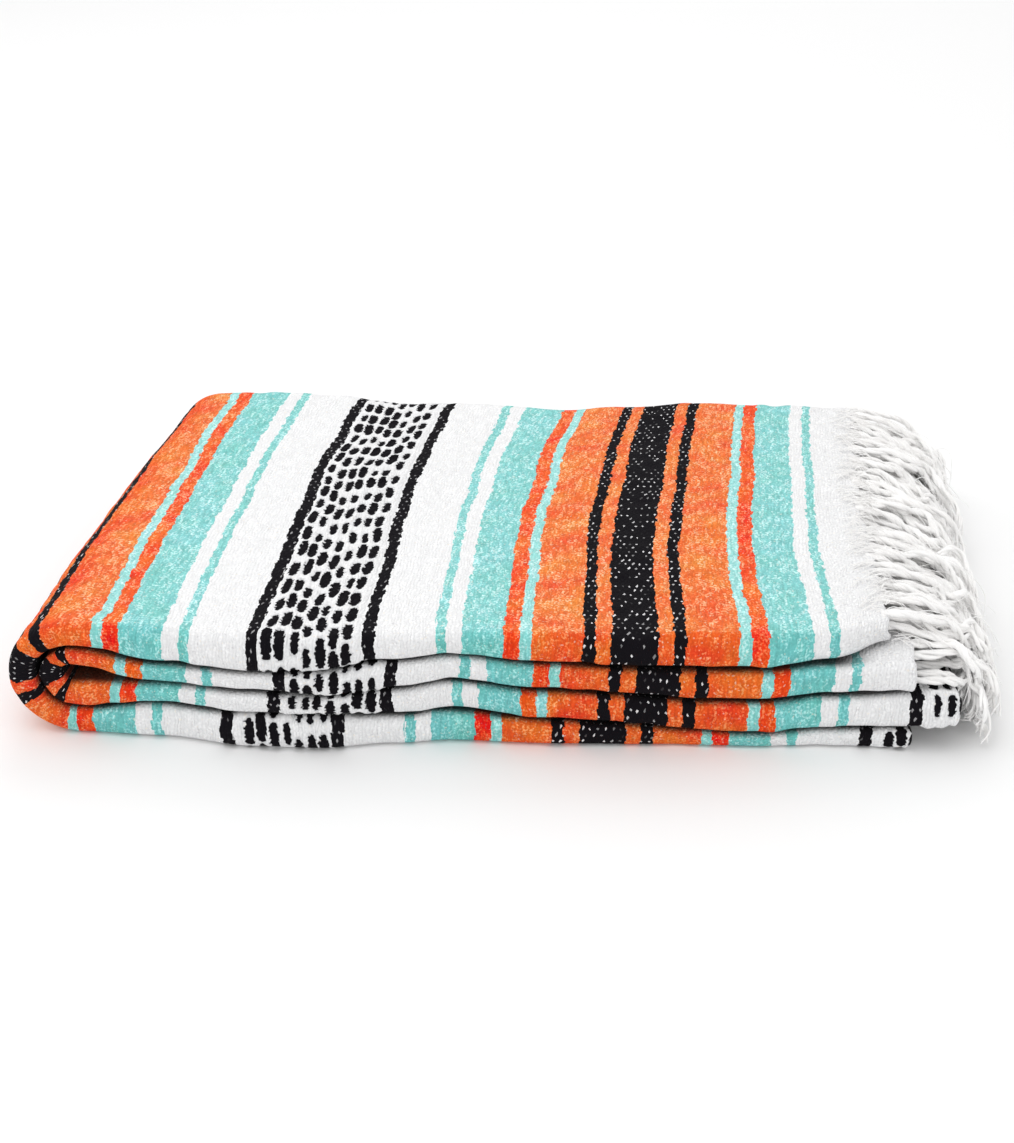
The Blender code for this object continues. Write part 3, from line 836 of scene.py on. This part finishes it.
WAVES = ((0.7, 0.0095), (1.6, 0.0062), (3.3, 0.0024))
ROW_COLUMNS = ("name", "node", "distance", "front", "reach", "squareness", "frays", "seed")
ROWS = (
    ("fringe_1", "fringe_row_1", INNER_RUN - HALF_PLY / 2, -0.152, 0.043, 5.0, 0, 21),
    ("fringe_2", "fringe_row_2", INNER_RUN + HALF_PLY / 2, -0.141, 0.051, 3.4, 300, 22),
    ("fringe_3", "fringe_row_3", OUTER_RUN - HALF_PLY / 2, -0.152, 0.059, 2.4, 0, 23),
    ("fringe_4", "fringe_row_4", OUTER_RUN + HALF_PLY / 2, -0.152, 0.0655, 2.0, 420, 24),
)


def cotton():
    """Soft off-white cotton, a little warmer in random patches."""
    material = bpy.data.materials.new("twisted_cotton")
    material.use_nodes = True
    tree = material.node_tree
    shader = tree.nodes["Principled BSDF"]
    place = add(tree, "ShaderNodeTexCoord").outputs["Object"]
    tone = noise(tree, place, 70.0, 3.0)
    colour = blend(tree, step_between(tree, tone, 0.3, 0.7), COTTON_DEEP, COTTON_PALE)
    tree.links.new(colour, shader.inputs["Base Color"])
    fibre = noise(tree, place, 1100.0, 4.0)
    bump = add(tree, "ShaderNodeBump", {"Strength": 0.5, "Distance": 0.0003, "Height": fibre})
    tree.links.new(bump.outputs["Normal"], shader.inputs["Normal"])
    shader.inputs["Roughness"].default_value = 0.95
    shader.inputs["Specular IOR Level"].default_value = 0.2
    shader.inputs["Sheen Weight"].default_value = 1.0
    shader.inputs["Sheen Roughness"].default_value = 0.7
    return material


def drooping(row, edge, rng, count, points):
    """Centre lines of one row's cords from the cut edge, as an array of cords, points and places."""
    t = np.linspace(0.0, 1.0, points)[None, :]
    spacing = (FRINGE_BACK - row["front"]) / count
    root = row["front"] + spacing * (np.arange(count) + 0.5 + rng.uniform(-0.3, 0.3, count))
    clump = np.floor(np.arange(count) / CORDS_IN_CLUMP + rng.uniform(0.0, 0.6, count)).astype(int)
    middles = np.array([root[clump == one].mean() for one in clump])
    lean = np.clip(rng.normal(LEAN, LEAN_SPREAD, clump.max() + 1), *LEAN_LIMITS)[clump]
    lean = (lean * smooth((root - row["front"]) / LEAN_FADE))[:, None]
    angle = t * np.pi / 2
    power = 2 / (row["squareness"] * rng.uniform(0.80, 1.15, (count, 1)))
    reach = row["reach"] * rng.uniform(0.80, 1.04, (count, 1)) * (1 + 0.3 * root[:, None])
    tip = LOWEST + 0.002 + rng.uniform(0.0, 1.0, (count, 1)) ** 2 * TIP_RISE
    height = MIDDLE + row["distance"] + rng.choice(CORD_LEVELS, (count, 1))
    x = edge - ROOT_DEPTH + (reach + ROOT_DEPTH) * np.sin(angle) ** power
    z = height + (tip - height) * (1 - np.abs(np.cos(angle)) ** power)
    pull = rng.uniform(0.4, 0.95, (count, 1))
    y = root[:, None] + (middles - root)[:, None] * pull * smooth(t * 1.6) + lean * t ** 1.3
    for waves, size in WAVES:
        phase = rng.uniform(0.0, 2 * np.pi, (count, 1))
        swing = np.sin(2 * np.pi * waves * t + phase)
        y = y + size * rng.uniform(0.3, 1.3, (count, 1)) * smooth(t * 1.8) * swing
        phase = rng.uniform(0.0, 2 * np.pi, (count, 1))
        swing = np.sin(2 * np.pi * waves * t + phase)
        z = z + 0.55 * size * smooth(t * 2.5) * (1 - t) * swing
    curl = rng.uniform(-1.0, 1.0, (count, 1)) * (rng.uniform(0.0, 1.0, (count, 1)) < CURLED_SHARE)
    turn = 2.6 * curl * smooth((t - 0.62) / 0.38)
    x = x - np.abs(curl) * 0.012 * smooth((t - 0.75) / 0.25)
    y = y + 0.008 * np.sin(turn)
    return np.stack([x, y, z], axis=2)


def wound(centre, rng, phase):
    """One yarn of each cord, wound loosely round the cord's centre line and splayed at its tip."""
    count, points = centre.shape[:2]
    t = np.linspace(0.0, 1.0, points)[None, :, None]
    ahead = np.gradient(centre, axis=1)
    steps = np.linalg.norm(ahead, axis=2, keepdims=True)
    ahead = ahead / steps
    run = np.cumsum(steps, axis=1)
    sideways = np.cross(np.array([0.0, 1.0, 0.0]), ahead)
    sideways = sideways / np.linalg.norm(sideways, axis=2, keepdims=True)
    pitch = TWIST_PITCH * rng.uniform(0.8, 1.5, (count, 1, 1))
    waves = 2 * np.pi * rng.uniform(1.0, 2.5, (count, 1, 1))
    wander = 0.6 * np.sin(waves * t + rng.uniform(0.0, 6.3, (count, 1, 1)))
    turn = 2 * np.pi * run / pitch + phase + wander
    radius = WIND_RADIUS * (0.75 + 0.45 * np.sin(9.0 * t + rng.uniform(0.0, 6.3, (count, 1, 1))) ** 2)
    radius = radius + 0.0022 * rng.uniform(0.2, 1.0, (count, 1, 1)) * smooth((t - 0.70) / 0.30)
    level = 0.75 * sideways * np.cos(turn) + 1.15 * np.cross(ahead, sideways) * np.sin(turn)
    return centre + radius * level


def strayed(centre, rng, count, points):
    """Paths of single fibres that have come loose from the cords."""
    owner = rng.integers(0, centre.shape[0], count)
    first = rng.integers(2, centre.shape[1] - 12, count)
    t = np.linspace(0.0, 1.0, points)
    numbers = np.arange(centre.shape[1])
    paths = []
    for cord, begin in zip(owner, first):
        length = rng.integers(8, 18)
        place = np.clip(begin + t * length, 0, numbers[-1])
        path = [np.interp(place, numbers, centre[cord, :, axis]) for axis in range(3)]
        away, bend = np.clip(rng.normal(0.0, 1.0, (2, 3)), -1.2, 1.2)
        away[2] = abs(away[2])
        path = np.stack(path, axis=1) + 0.0022 * away + t[:, None] * 0.0040 * away
        paths.append(path + np.sin(5.0 * t)[:, None] * 0.0020 * bend)
    return paths


def frayed(row, edge, rng, count, points):
    """Paths of short fibres that stand out of the cut edge over one row of cords."""
    t = np.linspace(0.0, 1.0, points)
    top = MIDDLE + row["distance"] + HALF_PLY / 2
    paths = []
    for root in rng.uniform(row["front"] + 0.004, FRINGE_BACK - 0.006, count):
        back = rng.uniform(0.0, 1.0) ** 2 * 0.016
        along = rng.uniform(0.005, 0.013)
        aside = rng.normal(0.0, 0.0045)
        up = rng.uniform(0.0006, 0.0022)
        x = edge - back + along * t
        y = root + aside * t + rng.normal(0.0, 0.0012) * np.sin(5.0 * t)
        z = top + 0.0009 + up * np.sin(np.pi * t) - 0.004 * t * t * (back < 0.006)
        paths.append(np.stack([x, y, z], axis=1))
    return paths


def yarns(name, groups, is_uppermost, material):
    """One mesh of round yarns along the paths of each group of (paths, radius, taper)."""
    curve = bpy.data.curves.new(name, "CURVE")
    curve.dimensions = "3D"
    curve.bevel_depth = 1.0
    curve.bevel_resolution = 1
    curve.use_fill_caps = True
    for paths, radius, taper in groups:
        for path in paths:
            x, y, z = settled(*path.T, is_uppermost)
            z = np.maximum(z, LOWEST)
            spline = curve.splines.new("POLY")
            spline.points.add(len(path) - 1)
            spline.points.foreach_set("co", np.stack([x, y, z, np.ones_like(x)], axis=1).ravel())
            radii = radius * (1 - taper * np.linspace(0.0, 1.0, len(path)) ** 3)
            spline.points.foreach_set("radius", radii)
    drawn = bpy.data.objects.new(name, curve)
    mesh = bpy.data.meshes.new_from_object(drawn)
    bpy.data.objects.remove(drawn)
    bpy.data.curves.remove(curve)
    mesh.name = name
    mesh.shade_smooth()
    mesh.materials.clear()
    mesh.materials.append(material)
    piece = bpy.data.objects.new(name, mesh)
    bpy.context.collection.objects.link(piece)
    return piece


cotton_yarn = cotton()
for values in ROWS:
    row = dict(zip(ROW_COLUMNS, values))
    rng = np.random.default_rng(row["seed"])
    is_uppermost = row["distance"] > OUTER_RUN - HALF_PLY
    edge = FRINGED_END if is_uppermost else FRINGED_END + FRINGED_STAGGER
    centre = drooping(row, edge, rng, CORDS_IN_ROW, CORD_POINTS)
    wind = []
    for one in range(YARNS_IN_CORD):
        phase = 2 * np.pi * one / YARNS_IN_CORD + rng.uniform(-0.4, 0.4, (CORDS_IN_ROW, 1, 1))
        wind.extend(wound(centre, rng, phase))
    strays = strayed(centre, rng, STRAYS_IN_ROW, STRAY_POINTS)
    fray = frayed(row, edge, rng, row["frays"], FRAY_POINTS)
    groups = ((wind, YARN_RADIUS, 0.55), (strays, STRAY_RADIUS, 0.6), (fray, STRAY_RADIUS, 0.5))
    fringe = yarns(row["name"], groups, is_uppermost, cotton_yarn)
    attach(fringe, "root")
    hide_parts(row["node"])
